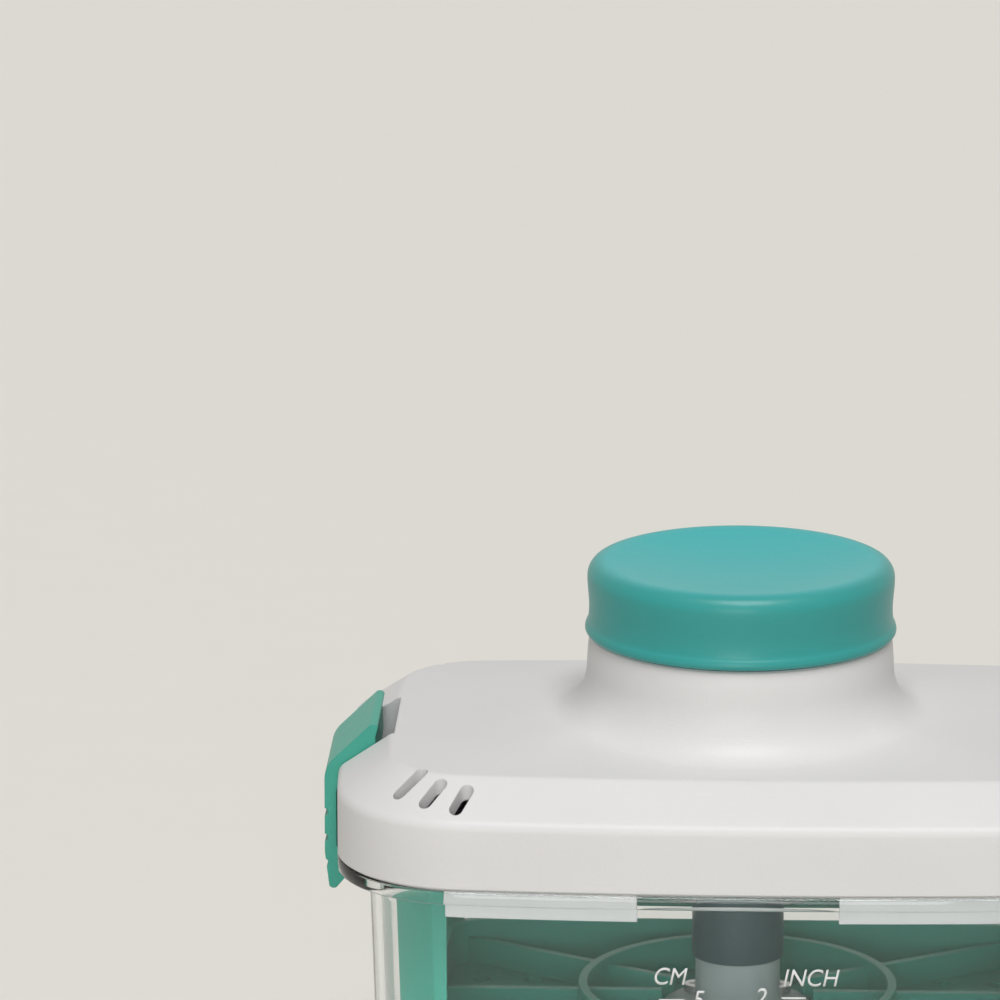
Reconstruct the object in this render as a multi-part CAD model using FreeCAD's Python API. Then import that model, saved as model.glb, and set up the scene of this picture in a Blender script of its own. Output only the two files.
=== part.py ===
import FreeCAD, Part
import math
import os

# Tofu press worked by a hand screw.
#
# A clear container stands on the table and holds a draining basket.  The lid is a shell with a
# screwed-in liner, and two snap latches hook it under the container's flange.  The knob turns a
# left-hand screw that hangs in the lid's neck.  The screw reaches into a tube with an inner thread.
# The tube stands on a foot that is screwed to the press plate, so turning the knob clockwise
# drives the plate down.
#
# Frame: millimetres, +Z up, X along the length, -Y the front with the scale.  The origin is on the
# table under the middle of the container.  The lid is closed and the plate stands in mid travel.

# ---- driving dimensions -------------------------------------------------------------------------

LID_HALF_X = 91.0            # half length of the lid and of the container's flange
LID_HALF_Y = 62.0            # half width of the lid and of the flange
LID_CORNER = 30.0            # corner radius of that outline
SIDE_CROWN = 900.0           # radius of the slightly bowed long sides
END_CROWN = 500.0            # radius of the slightly bowed ends

RIM_Z = 90.0                 # top of the flange, where the lid sits
FLANGE_T = 3.0
BODY_HALF_X = 84.0           # container body under the flange
BODY_HALF_Y = 55.5
BODY_CORNER = 24.0
BODY_TAPER = 3.0             # how far each wall leans in between rim and table
BODY_WALL = 2.2
BODY_FLOOR = 3.0

BASKET_HALF_X = 77.6         # draining basket at its top
BASKET_HALF_Y = 49.0
BASKET_CHAMFER = 9.4         # leg of its cut-off corners
BASKET_TOP_Z = 88.5
BASKET_TAPER = 2.7           # lean of each wall over the basket's height
BASKET_WALL = 2.0
BASKET_FLOOR_Z = 14.0        # top of the basket's floor, zero of the scale
BASKET_FLOOR_T = 2.5
POST_INNER_X = 64.7          # inner edge of the corner posts on the long sides
POST_INNER_Y = 37.5          # and on the ends
SILL_Z = 15.5                # top of the low wall between the posts
DRAIN_SLOT_W = 3.0
DRAIN_SLOT_L = 14.0
DRAIN_PITCH_X = 19.4
DRAIN_PITCH_Y = 9.0

PLATE_HALF_X = 70.5
PLATE_HALF_Y = 42.5
PLATE_CORNER = 11.0
PLATE_Z = 40.0               # pressing face with the plate in mid travel
PLATE_FLOOR_T = 3.0
PLATE_RIM_Z = 53.0
PLATE_WALL = 2.0
PLATE_RING_R = 36.5          # ring wall on top of the plate
PLATE_RING_Z = 51.0
PLATE_RIB_Z = 49.0
PLATE_HOLE_R = 2.0
PLATE_HOLE_PITCH = 12.0

SKIRT_TOP_Z = 105.5          # top of the lid's upright side wall
BEVEL_IN = 12.0              # width of the bevel in plan
BEVEL_TOP_Z = 113.5
CROWN_R = 43.5               # foot of the flared neck
CROWN_Z = 115.8
NECK_R = 34.3
NECK_TOP_Z = 134.0
SHELL_T = 2.2

POCKET_HALF_Y = 15.0         # pocket in each end of the lid for the latch
POCKET_X = 78.4              # inner wall of the pocket at the top
POCKET_DEEP_X = 75.2         # and lower down, where the latch's lip swings
POCKET_FLOOR_T = 2.2
SLOT_FAN_X = 46.5            # the pour slots at a corner point to this place
SLOT_FAN_Y = 25.7
SLOT_W = 3.0
POUR_SLOTS = ((39.0, 29.4, 38.2), (50.7, 29.4, 37.2), (62.4, 27.8, 35.6))  # bearing, near, far end

LINER_Z = 90.3
LINER_T = 3.0
PLUG_BOTTOM_Z = 81.6
PLUG_IN_X = 22.3             # the plug walls on the long sides run between these
PLUG_OUT_X = 64.8
PLUG_END_Y = 19.0            # and those on the ends start here, each side of the pocket
PLUG_END_L = 13.0
PLUG_T = 2.5
VENT_L = 20.0                # slit in each plug wall on the long sides
VENT_Z = 84.6
VENT_H = 0.9
GUIDE_R = 22.0               # cup under the lid, round the sleeve that the nut's tube slides in
GUIDE_BOTTOM_Z = 76.0
GUIDE_WALL = 2.0
GUIDE_SLEEVE_R = 13.0

SCREW_LEAD = 8.0             # axial travel of the plate per turn
SCREW_STARTS = 2
SCREW_R = 7.0
SCREW_CORE_R = 5.8
RIDGE_HALF_ROOT = 1.3        # half the thickness of the thread's ridge at its foot
RIDGE_HALF_CREST = 0.55      # and at its crest
SCREW_BOTTOM_Z = 69.0
SCREW_THREAD_TOP_Z = 125.6
THREAD_GAP = 0.25
TUBE_R = 10.5
TUBE_BOTTOM_Z = 58.0
TUBE_TOP_Z = 101.5
TUBE_BORE_R = 7.8
NUT_THREAD_L = 10.0
FOOT_R = 9.7                 # foot that the nut's tube stands on
FOOT_SPIGOT_R = 9.0
FOOT_SPIGOT_L = 5.4
FOOT_FLANGE_R = 17.0
FOOT_FLANGE_T = 2.5
JOURNAL_R = 6.0

BUSH_R = 9.0
BUSH_BOTTOM_Z = 129.2
BUSH_FLANGE_R = 12.0
BUSH_FLANGE_T = 1.5
WASHER_T = 1.0
HUB_R = 22.0
HUB_T = 4.0
CLIP_T = 1.2

KNOB_BOTTOM_Z = 134.4
KNOB_TOP_Z = 151.0
KNOB_R = 35.4
KNOB_WALL = 2.3
KNOB_DISH_Z = 148.4          # middle of the dished top

LATCH_HALF_Y = 14.5
LATCH_OUT = 3.0              # its outer face stands this far out from the lid's end
LATCH_GAP = 0.3              # between its leg and the lid's end
LATCH_PIN_X = 85.2
LATCH_PIN_Z = 106.6
LATCH_PIN_R = 1.5
LATCH_LIP_X = 81.7           # how far in the lip at its top reaches
LATCH_TOP_Z = 115.6
LATCH_HOOK_X = 88.6          # how far in the hook reaches
LATCH_HOOK_Z = 86.3          # top of the hook, just under the flange
LATCH_HOOK_T = 6.2           # height of the hook's nose
LATCH_TIP_Z = 76.6
GRIP_LEVELS = (94.6, 88.6, 82.6)
GRIP_W = 1.8                 # grip grooves across the latch
GRIP_DEPTH = 0.7

M3_SHANK_R = 1.25
M3_HEAD_R = 2.7
M3_HEAD_T = 1.8
PILOT_R = 1.3
FOOT_SCREW_L = 4.4
LINER_SCREW_L = 8.5
KNOB_SCREW_L = 7.5
BOSS_R = 4.2                 # posts that the liner screws go into

# ---- levels worked out from them ----------------------------------------------------------------

FLANGE_Z = RIM_Z - FLANGE_T
PLATE_FLOOR_Z = PLATE_Z + PLATE_FLOOR_T
LINER_TOP_Z = LINER_Z + LINER_T
POCKET_FLOOR_Z = RIM_Z + POCKET_FLOOR_T
NECK_PLATE_Z = NECK_TOP_Z - SHELL_T
BUSH_TOP_Z = NECK_TOP_Z + BUSH_FLANGE_T
HUB_Z = BUSH_TOP_Z + WASHER_T
HUB_TOP_Z = HUB_Z + HUB_T
CLIP_Z = BUSH_BOTTOM_Z - 0.2 - CLIP_T
GROOVE_R = JOURNAL_R - 1.0
NUT_THREAD_Z = TUBE_TOP_Z - NUT_THREAD_L

FOOT_SCREW_R = 13.6          # circle of the four foot screws
FOOT_SCREW_BEARINGS = (45, 135, 225, 315)
KNOB_SCREW_R = 16.0          # circle of the three knob screws
KNOB_SCREW_BEARINGS = (90, 210, 330)
LINER_SCREWS = ((62.0, 36.0), (0.0, 47.0), (-62.0, 36.0), (-62.0, -36.0), (0.0, -47.0), (62.0, -36.0))


# ---- shape helpers ------------------------------------------------------------------------------

def vec(x, y, z=0.0):
    return FreeCAD.Vector(x, y, z)


def polar(radius, degrees, z=0.0):
    angle = math.radians(degrees)
    return vec(radius * math.cos(angle), radius * math.sin(angle), z)


def outline_points(half_x, half_y, corner):
    """Tangent points and mid point of the corner arc in the +X +Y quarter of a bowed rectangle.

    The long side is an arc of radius SIDE_CROWN, the end one of END_CROWN, and the corner arc
    touches both from inside, so its centre is where two circles of reduced radius cross.
    """
    side_centre = vec(0, half_y - SIDE_CROWN)
    end_centre = vec(half_x - END_CROWN, 0)
    side_reach = SIDE_CROWN - corner
    end_reach = END_CROWN - corner
    apart = end_centre - side_centre
    distance = apart.Length
    along = (side_reach ** 2 - end_reach ** 2 + distance ** 2) / (2 * distance)
    across = math.sqrt(side_reach ** 2 - along ** 2)
    unit = apart / distance
    centre = side_centre + unit * along + vec(unit.y, -unit.x) * across
    to_end = (centre - end_centre).normalize()
    to_side = (centre - side_centre).normalize()
    middle = (to_end + to_side).normalize()
    return centre + to_end * corner, centre + middle * corner, centre + to_side * corner


def quarter(point, sign_x, sign_y, z):
    return vec(sign_x * point.x, sign_y * point.y, z)


def arc_loop(end_pt, mid_pt, side_pt, half_x, half_y, z):
    """Closed wire of eight edges from the points of one quarter, counter-clockwise from +X.

    The corners are arcs through mid_pt, or straight where it is None.
    """
    edges = []
    quarters = ((1, 1), (-1, 1), (-1, -1), (1, -1))
    side_mids = (vec(0, half_y, z), vec(-half_x, 0, z), vec(0, -half_y, z), vec(half_x, 0, z))
    for index, (sx, sy) in enumerate(quarters):
        first, last = (end_pt, side_pt) if sx * sy > 0 else (side_pt, end_pt)
        next_sx, next_sy = quarters[(index + 1) % 4]
        next_pt = side_pt if sx * sy > 0 else end_pt
        start = quarter(first, sx, sy, z)
        stop = quarter(last, sx, sy, z)
        follow = quarter(next_pt, next_sx, next_sy, z)
        if mid_pt is None:
            edges.append(Part.LineSegment(start, stop).toShape())
        else:
            edges.append(Part.Arc(start, quarter(mid_pt, sx, sy, z), stop).toShape())
        edges.append(Part.Arc(stop, side_mids[index], follow).toShape())
    return Part.Wire(edges)


def outline(half_x, half_y, corner, z):
    end_pt, mid_pt, side_pt = outline_points(half_x, half_y, corner)
    return arc_loop(end_pt, mid_pt, side_pt, half_x, half_y, z)


def round_outline(radius, z):
    """Circle cut into eight arcs at the same bearings as the lid's outline, for lofting."""
    points = outline_points(LID_HALF_X, LID_HALF_Y, LID_CORNER)
    on_circle = [vec(p.x, p.y).normalize() * radius for p in points]
    middle = (on_circle[0] + on_circle[2]).normalize() * radius
    return arc_loop(on_circle[0], middle, on_circle[2], radius, radius, z)


def prism(half_x, half_y, corner, z_low, z_high):
    return Part.Face(outline(half_x, half_y, corner, z_low)).extrude(vec(0, 0, z_high - z_low))


def loft(*wires):
    return Part.makeLoft(list(wires), True, True)


def block(x_low, x_high, y_low, y_high, z_low, z_high):
    return Part.makeBox(x_high - x_low, y_high - y_low, z_high - z_low, vec(x_low, y_low, z_low))


def rod(radius, z_low, z_high, x=0.0, y=0.0):
    return Part.makeCylinder(radius, z_high - z_low, vec(x, y, z_low))


def cross_rod(radius, x, z, half_y):
    """Rod along Y, from -half_y to half_y."""
    return Part.makeCylinder(radius, 2 * half_y, vec(x, -half_y, z), vec(0, 1, 0))


def pipe(r_out, r_in, z_low, z_high):
    return rod(r_out, z_low, z_high).cut(rod(r_in, z_low - 1, z_high + 1))


def fuse(shapes):
    shapes = list(shapes)
    return shapes[0].multiFuse(shapes[1:]).removeSplitter()


def cut(shape, tools):
    return shape.cut(list(tools)).removeSplitter()


def turned(edges):
    """Solid of revolution about Z from the closed outline of its half section."""
    return Part.Face(Part.Wire(edges)).revolve(vec(0, 0), vec(0, 0, 1), 360)


def line(start, end):
    return Part.makeLine(vec(start[0], 0, start[1]), vec(end[0], 0, end[1]))


def lines(*points):
    return [line(a, b) for a, b in zip(points, points[1:])]


def arc(start, middle, end):
    return Part.Arc(*(vec(p[0], 0, p[1]) for p in (start, middle, end))).toShape()


def curve(points):
    spline = Part.BSplineCurve()
    spline.interpolate([vec(p[0], 0, p[1]) for p in points])
    return spline.toShape()


def side_profile(edges, half_y):
    """Section in the XZ plane, made into a solid from -half_y to +half_y."""
    face = Part.Face(Part.Wire(edges))
    face.translate(vec(0, -half_y))
    return face.extrude(vec(0, 2 * half_y))


def rounded_section(corners):
    """Closed section in the XZ plane from corners (x, z, radius).

    The arc at each corner touches both sides.  It starts and stops at radius / tan(half angle)
    from the corner, and its middle lies on the bisector, at radius / sin(half angle) - radius.
    """
    starts = []
    middles = []
    stops = []
    for index, (x, z, radius) in enumerate(corners):
        here = vec(x, 0, z)
        before = vec(corners[index - 1][0], 0, corners[index - 1][1])
        after_index = (index + 1) % len(corners)
        after = vec(corners[after_index][0], 0, corners[after_index][1])
        back = (before - here).normalize()
        ahead = (after - here).normalize()
        half_angle = back.getAngle(ahead) / 2
        reach = radius / math.tan(half_angle)
        starts.append(here + back * reach)
        middles.append(here + (back + ahead).normalize() * (radius / math.sin(half_angle) - radius))
        stops.append(here + ahead * reach)
    edges = []
    for index, stop in enumerate(stops):
        edges.append(Part.Arc(starts[index], middles[index], stop).toShape())
        edges.append(Part.makeLine(stop, starts[(index + 1) % len(corners)]))
    return edges


def mirrored_x(shape):
    return shape.mirror(vec(0, 0), vec(1, 0))


def slot_cutter(length, width, z_low, z_high, place, degrees):
    """Round-ended upright cutter, centred at place and turned about Z."""
    half = length / 2 - width / 2
    straight = block(-half, half, -width / 2, width / 2, z_low, z_high)
    cutter = straight.fuse([rod(width / 2, z_low, z_high, -half), rod(width / 2, z_low, z_high, half)])
    cutter.rotate(vec(0, 0), vec(0, 0, 1), degrees)
    cutter.translate(vec(place.x, place.y))
    return cutter


def thread_ridge(core_r, crest_r, half_root, half_crest, z_low, z_high):
    """Left-hand ridges of all the starts, wound round Z between two levels.

    Each ridge has a trapezoid section that is swept along a helix.  Its foot goes a little into
    the core, so that it fuses with it.
    """
    foot = core_r - 0.4
    section = Part.makePolygon([
        vec(foot, 0, z_low - half_root),
        vec(crest_r, 0, z_low - half_crest),
        vec(crest_r, 0, z_low + half_crest),
        vec(foot, 0, z_low + half_root),
        vec(foot, 0, z_low - half_root),
    ])
    helix = Part.makeHelix(SCREW_LEAD, z_high - z_low, core_r, 0, True)
    helix.translate(vec(0, 0, z_low))
    ridges = []
    for start in range(SCREW_STARTS):
        ridge = Part.Wire(helix.Edges).makePipeShell([section], True, True)
        ridge.rotate(vec(0, 0), vec(0, 0, 1), start * 360 / SCREW_STARTS)
        ridges.append(ridge)
    return ridges


def lid_levels(inset, drop):
    """Outline sizes and levels of the lid's faces, moved in by inset and down by drop."""
    skirt = (LID_HALF_X - inset, LID_HALF_Y - inset, LID_CORNER - inset)
    crease = tuple(value - BEVEL_IN for value in skirt)
    return skirt, crease, SKIRT_TOP_Z - drop, BEVEL_TOP_Z - drop, CROWN_Z - drop


def lid_body(inset, drop, z_low):
    """Solid up to the lid's outer or inner faces: upright skirt, bevel, crown and flared neck."""
    skirt, crease, skirt_z, bevel_z, crown_z = lid_levels(inset, drop)
    foot_r = CROWN_R - inset * 0.5
    neck_r = NECK_R - inset
    top_z = NECK_TOP_Z - drop
    neck = turned(
        lines((0, top_z), (0, bevel_z - 4), (foot_r, bevel_z - 4), (foot_r, crown_z))
        + [arc((foot_r, crown_z), (neck_r + 3.4, crown_z + 3.8), (neck_r + 0.6, top_z - 5.5))]
        + lines((neck_r + 0.6, top_z - 5.5), (neck_r, top_z), (0, top_z)))
    return fuse([
        prism(*skirt, z_low, skirt_z),
        loft(outline(*skirt, skirt_z), outline(*crease, bevel_z)),
        loft(outline(*crease, bevel_z), round_outline(foot_r, crown_z)),
        neck,
    ])


def pocket_cutter(grow, z_low):
    """Space of the latch pocket in the left end, grown by grow on its walls.

    Its inner wall steps back below the lid's top, so that the latch's lip can swing.
    """
    top_x = -POCKET_X + grow
    deep_x = -POCKET_DEEP_X + grow
    step_z = BEVEL_TOP_Z + 0.3
    far_x = -LID_HALF_X - 5
    profile = lines(
        (far_x, z_low), (far_x, NECK_TOP_Z), (top_x, NECK_TOP_Z), (top_x, step_z),
        (deep_x, step_z - (POCKET_X - POCKET_DEEP_X)), (deep_x, z_low), (far_x, z_low))
    return side_profile(profile, POCKET_HALF_Y + grow)


# ---- pieces that stay on the table --------------------------------------------------------------

def make_container():
    def body(inset, z_low):
        lean = BODY_TAPER * z_low / RIM_Z
        top = (BODY_HALF_X - inset, BODY_HALF_Y - inset, BODY_CORNER - inset)
        foot_lean = BODY_TAPER - lean
        foot = tuple(value - foot_lean for value in top)
        return loft(outline(*foot, z_low), outline(*top, RIM_Z))

    flange = prism(LID_HALF_X, LID_HALF_Y, LID_CORNER, FLANGE_Z, RIM_Z)
    return cut(fuse([body(0, 0), flange]), [body(BODY_WALL, BODY_FLOOR)])


def basket_outline(inset, lean, z):
    """Bowed rectangle with cut-off corners; the cuts move in by the inset as the walls do."""
    half_x = BASKET_HALF_X - inset - lean
    half_y = BASKET_HALF_Y - inset - lean
    leg = BASKET_CHAMFER - inset * (2 - math.sqrt(2))
    cut_x = half_x - leg
    cut_y = half_y - leg
    end_bow = END_CROWN - math.sqrt(END_CROWN ** 2 - cut_y ** 2)
    side_bow = SIDE_CROWN - math.sqrt(SIDE_CROWN ** 2 - cut_x ** 2)
    return arc_loop(vec(half_x - end_bow, cut_y), None, vec(cut_x, half_y - side_bow), half_x, half_y, z)


def basket_wall(inset, z_low):
    """Tapered block up to the basket's outer or inner faces, from z_low to its top."""
    lean = BASKET_TAPER * (BASKET_TOP_Z - z_low) / (BASKET_TOP_Z - BODY_FLOOR)
    return loft(basket_outline(inset, lean, z_low), basket_outline(inset, 0, BASKET_TOP_Z))


def make_basket():
    """Floor with drain slots, a low wall round it, and four corner posts that reach to the feet."""
    far = BASKET_HALF_X + 5
    floor_z = BASKET_FLOOR_Z - BASKET_FLOOR_T
    shell = basket_wall(0, BODY_FLOOR)
    hollow = basket_wall(BASKET_WALL, BASKET_FLOOR_Z)
    under = loft(basket_outline(BASKET_WALL, BASKET_TAPER, BODY_FLOOR - 1),
                 basket_outline(BASKET_WALL, BASKET_TAPER, floor_z))
    windows = [
        block(-POST_INNER_X, POST_INNER_X, -far, far, SILL_Z, BASKET_TOP_Z + 1),
        block(-far, far, -POST_INNER_Y, POST_INNER_Y, SILL_Z, BASKET_TOP_Z + 1),
        block(-POST_INNER_X + 8, POST_INNER_X - 8, -far, far, 0, floor_z - 2),
        block(-far, far, -POST_INNER_Y + 8, POST_INNER_Y - 8, 0, floor_z - 2),
    ]
    slots = []
    for column in range(-3, 4):
        for row in range(-4, 5):
            place = vec(column * DRAIN_PITCH_X, row * DRAIN_PITCH_Y)
            slots.append(slot_cutter(DRAIN_SLOT_L, DRAIN_SLOT_W, 0, BASKET_FLOOR_Z + 1, place, 0))
    return cut(shell, [hollow, under] + windows + slots)


# ---- press plate and nut ------------------------------------------------------------------------

def make_press_plate():
    """Drilled floor with an upturned rim, a ring wall, and eight ribs from the foot to the rim."""
    rim_top = (PLATE_HALF_X, PLATE_HALF_Y, PLATE_CORNER)
    rim_inner = tuple(value - PLATE_WALL for value in rim_top)
    tray = prism(*rim_top, PLATE_Z, PLATE_RIM_Z).cut(prism(*rim_inner, PLATE_FLOOR_Z, PLATE_RIM_Z + 1))
    ring = pipe(PLATE_RING_R, PLATE_RING_R - PLATE_WALL, PLATE_Z + 1, PLATE_RING_Z)
    inside_rim = prism(*tuple(value - PLATE_WALL / 2 for value in rim_top), PLATE_Z + 1, PLATE_RIB_Z)
    ribs = []
    diagonal = math.degrees(math.atan2(PLATE_HALF_Y, PLATE_HALF_X))
    for bearing in (0, diagonal, 90, 180 - diagonal, 180, 180 + diagonal, 270, 360 - diagonal):
        rib = block(FOOT_FLANGE_R + 0.4, PLATE_HALF_X + PLATE_HALF_Y, -1, 1, PLATE_Z + 1, PLATE_RIB_Z)
        rib.rotate(vec(0, 0), vec(0, 0, 1), bearing)
        ribs.append(rib.common(inside_rim))
    holes = []
    for column in range(-5, 6):
        for row in range(-3, 4):
            x = column * PLATE_HOLE_PITCH
            y = row * PLATE_HOLE_PITCH
            bearing = math.degrees(math.atan2(y, x)) % 180
            off_ring = abs(math.hypot(x, y) - PLATE_RING_R + PLATE_WALL / 2) > PLATE_HOLE_R + 1.5
            off_foot = math.hypot(x, y) > FOOT_FLANGE_R + PLATE_HOLE_R
            off_axes = abs(x) > PLATE_HOLE_R and abs(y) > PLATE_HOLE_R
            aslant = min(abs(bearing - diagonal), abs(bearing - 180 + diagonal))
            off_diagonal = math.hypot(x, y) * math.sin(math.radians(aslant)) > PLATE_HOLE_R + 1
            if off_ring and off_foot and off_axes and off_diagonal:
                holes.append(rod(PLATE_HOLE_R, PLATE_Z - 1, PLATE_FLOOR_Z + 1, x, y))
    pilots = []
    for bearing in FOOT_SCREW_BEARINGS:
        spot = polar(FOOT_SCREW_R, bearing)
        pilots.append(rod(PILOT_R, PLATE_Z + 0.8, PLATE_FLOOR_Z + 1, spot.x, spot.y))
    return cut(fuse([tray, ring] + ribs), holes + pilots)


def make_stem_foot():
    """Hollow foot for the nut's tube: a screwed-down flange, a neck and a spigot into the tube."""
    neck = rod(FOOT_R, PLATE_FLOOR_Z, TUBE_BOTTOM_Z)
    spigot = rod(FOOT_SPIGOT_R, PLATE_FLOOR_Z, TUBE_BOTTOM_Z + FOOT_SPIGOT_L)
    flange = rod(FOOT_FLANGE_R, PLATE_FLOOR_Z, PLATE_FLOOR_Z + FOOT_FLANGE_T)
    tools = [rod(TUBE_BORE_R, PLATE_FLOOR_Z - 1, TUBE_TOP_Z)]
    for bearing in FOOT_SCREW_BEARINGS:
        spot = polar(FOOT_SCREW_R, bearing)
        tools.append(rod(M3_SHANK_R + 0.25, PLATE_FLOOR_Z - 1, PLATE_FLOOR_Z + 5, spot.x, spot.y))
    return cut(fuse([neck, spigot, flange]), tools)


def make_drive_nut():
    """Tube that fits over the foot's spigot, with an inner left-hand thread in its top end.

    The thread is cut with a tap, a core with the screw's ridges made larger by the clearance.
    The tap's ridges start a whole number of turns above the screw's, so that the two mesh.
    """
    tube = rod(TUBE_R, TUBE_BOTTOM_Z, TUBE_TOP_Z)
    turns_up = math.floor((NUT_THREAD_Z - SCREW_BOTTOM_Z) / SCREW_LEAD)
    tap_z = SCREW_BOTTOM_Z + turns_up * SCREW_LEAD
    tap = rod(SCREW_CORE_R + THREAD_GAP, tap_z - 2, TUBE_TOP_Z + SCREW_LEAD)
    for groove in thread_ridge(SCREW_CORE_R, SCREW_R + THREAD_GAP, RIDGE_HALF_ROOT + THREAD_GAP,
                               RIDGE_HALF_CREST + THREAD_GAP, tap_z, TUBE_TOP_Z + SCREW_LEAD):
        tap = tap.fuse(groove)
    bore = rod(TUBE_BORE_R, TUBE_BOTTOM_Z - 1, NUT_THREAD_Z)
    socket = rod(FOOT_SPIGOT_R + 0.05, TUBE_BOTTOM_Z - 1, TUBE_BOTTOM_Z + FOOT_SPIGOT_L + 0.2)
    return cut(tube.cut(tap), [bore, socket])


def pan_screw(spot, head_z, direction, length):
    """Pan head screw on an upright axis: its head starts at head_z, its shank runs the other way.

    direction is +1 when the shank points up and -1 when it points down.
    """
    head = Part.makeCylinder(M3_HEAD_R, M3_HEAD_T, vec(spot.x, spot.y, head_z), vec(0, 0, -direction))
    shank = Part.makeCylinder(M3_SHANK_R, length, vec(spot.x, spot.y, head_z), vec(0, 0, direction))
    far_z = head_z - direction * M3_HEAD_T
    recess_d = 1.0
    bars = []
    for turn in (0, 90):
        bar = Part.makeBox(3.0, 0.7, recess_d, vec(-1.5, -0.35, 0))
        bar.rotate(vec(0, 0), vec(0, 0, 1), turn)
        bar.translate(vec(spot.x, spot.y, far_z if direction > 0 else far_z - recess_d))
        bars.append(bar)
    return cut(fuse([head, shank]), bars)


def make_foot_screws():
    head_z = PLATE_FLOOR_Z + FOOT_FLANGE_T
    spots = [polar(FOOT_SCREW_R, bearing) for bearing in FOOT_SCREW_BEARINGS]
    return Part.makeCompound([pan_screw(spot, head_z, -1, FOOT_SCREW_L) for spot in spots])


# ---- lid ----------------------------------------------------------------------------------------

def pour_slots():
    """Three slanted through slots at each corner of the lid, fanned about one place per corner."""
    cutters = []
    low_z = SKIRT_TOP_Z - SHELL_T - 1
    for sign_x in (-1, 1):
        for sign_y in (-1, 1):
            for bearing, near, far in POUR_SLOTS:
                out = polar((near + far) / 2, bearing)
                place = vec(sign_x * (SLOT_FAN_X + out.x), sign_y * (SLOT_FAN_Y + out.y))
                turn = bearing * sign_x * sign_y
                cutters.append(slot_cutter(far - near, SLOT_W, low_z, NECK_TOP_Z, place, turn))
    return cutters


def make_lid_shell():
    """Moulded lid: thin walls, a pocket for a latch in each end, screw bosses and the neck."""
    outer = lid_body(0, 0, RIM_Z)
    hollow = lid_body(SHELL_T, SHELL_T, RIM_Z - 1)
    pocket_walls = pocket_cutter(SHELL_T, RIM_Z - 2)
    bosses = [rod(BOSS_R, LINER_TOP_Z, NECK_TOP_Z, x, y) for x, y in LINER_SCREWS]
    bush_boss = rod(BUSH_FLANGE_R, BUSH_BOTTOM_Z, NECK_TOP_Z)
    hollow = hollow.cut([pocket_walls, mirrored_x(pocket_walls), bush_boss] + bosses)
    pocket = pocket_cutter(0, POCKET_FLOOR_Z)
    pin_hole = cross_rod(LATCH_PIN_R + 0.02, -LATCH_PIN_X, LATCH_PIN_Z, POCKET_HALF_Y + 2)
    pin_holes = [pin_hole, mirrored_x(pin_hole)]
    pilots = [rod(PILOT_R, LINER_TOP_Z - 1, LINER_TOP_Z + 8, x, y) for x, y in LINER_SCREWS]
    bush_hole = rod(BUSH_R, NECK_PLATE_Z - 5, NECK_TOP_Z + 1)
    tools = [hollow, pocket, mirrored_x(pocket), bush_hole] + pin_holes + pilots + pour_slots()
    return cut(outer, tools)


def make_lid_liner():
    """Plate that closes the lid from below, with short walls that centre it in the container
    and a round hole for the stem's guide."""
    gap = 0.3
    inset = SHELL_T + gap
    plate = prism(LID_HALF_X - inset, LID_HALF_Y - inset, LID_CORNER - inset, LINER_Z, LINER_TOP_Z)
    room = pocket_cutter(SHELL_T + gap, RIM_Z - 2)
    plug_half_x = BODY_HALF_X - BODY_WALL - 0.6
    plug_half_y = BODY_HALF_Y - BODY_WALL - 0.6
    plug_corner = BODY_CORNER - BODY_WALL - 0.6
    plug = prism(plug_half_x, plug_half_y, plug_corner, PLUG_BOTTOM_Z, LINER_Z + 1)
    core = prism(plug_half_x - PLUG_T, plug_half_y - PLUG_T, plug_corner - PLUG_T,
                 PLUG_BOTTOM_Z - 1, LINER_Z)
    wall = plug.cut(core)
    far = LID_HALF_X
    kept = [
        block(-PLUG_OUT_X, -PLUG_IN_X, -far, far, PLUG_BOTTOM_Z, LINER_Z + 1),
        block(PLUG_IN_X, PLUG_OUT_X, -far, far, PLUG_BOTTOM_Z, LINER_Z + 1),
        block(-far, far, PLUG_END_Y, PLUG_END_Y + PLUG_END_L, PLUG_BOTTOM_Z, LINER_Z + 1),
        block(-far, far, -PLUG_END_Y - PLUG_END_L, -PLUG_END_Y, PLUG_BOTTOM_Z, LINER_Z + 1),
    ]
    walls = [wall.common(part) for part in kept]
    body = fuse([plate.cut([room, mirrored_x(room)])] + walls)
    hole = rod(GUIDE_R - GUIDE_WALL + 0.05, LINER_Z - 1, LINER_TOP_Z + 1)
    seats = []
    for x, y in LINER_SCREWS:
        seats.append(rod(M3_HEAD_R + 0.4, LINER_Z - 1, LINER_Z + M3_HEAD_T + 0.1, x, y))
        seats.append(rod(M3_SHANK_R + 0.25, LINER_Z, LINER_TOP_Z + 1, x, y))
    vents = []
    for sign_x in (-1, 1):
        for sign_y in (-1, 1):
            x = sign_x * (PLUG_IN_X + PLUG_OUT_X) / 2
            y = sign_y * (plug_half_y - PLUG_T / 2)
            vents.append(block(x - VENT_L / 2, x + VENT_L / 2, y - 3, y + 3, VENT_Z, VENT_Z + VENT_H))
    return cut(body, [hole] + seats + vents)


def make_stem_guide():
    """Cup let into the liner's hole up to its shoulder, with a sleeve that the nut's tube slides in."""
    shoulder = rod(GUIDE_R, GUIDE_BOTTOM_Z, LINER_Z)
    cup = fuse([shoulder, rod(GUIDE_R - GUIDE_WALL, GUIDE_BOTTOM_Z, LINER_TOP_Z)])
    hollow = pipe(GUIDE_R - 2 * GUIDE_WALL, GUIDE_SLEEVE_R, GUIDE_BOTTOM_Z + GUIDE_WALL, LINER_TOP_Z + 1)
    bore = rod(TUBE_R + 0.3, GUIDE_BOTTOM_Z - 1, LINER_TOP_Z + 1)
    return cut(cup, [hollow, bore])


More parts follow.
